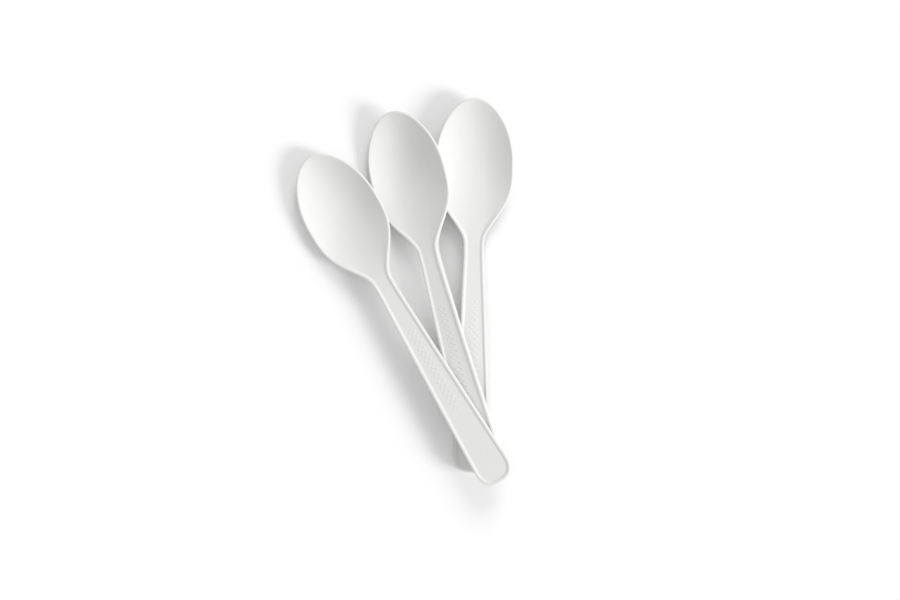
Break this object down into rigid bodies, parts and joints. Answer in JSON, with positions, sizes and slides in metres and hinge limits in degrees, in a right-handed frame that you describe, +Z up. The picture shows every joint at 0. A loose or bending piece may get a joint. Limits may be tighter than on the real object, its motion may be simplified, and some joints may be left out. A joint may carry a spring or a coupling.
{
  "type": "set of plastic spoons",
  "caption": "Moulded plastic spoons with oval bowls and tapering rimmed handles, fanned out so that each handle lies across the one below.",
  "frame": {"origin": "on the table, under the middle of the bounding box of the three spoons", "axes": "+Z up, +Y towards the bowls, +X towards the lowest spoon, which lies nearly along Y"},
  "size_m": [0.0958, 0.1694, 0.0131],
  "materials": {
    "white_plastic": "satin moulded"
  },
  "bodies": {
    "root": {"spoon_right": "white_plastic", "spoon_middle": "white_plastic", "spoon_left": "white_plastic"}
  },
  "joints": []
}
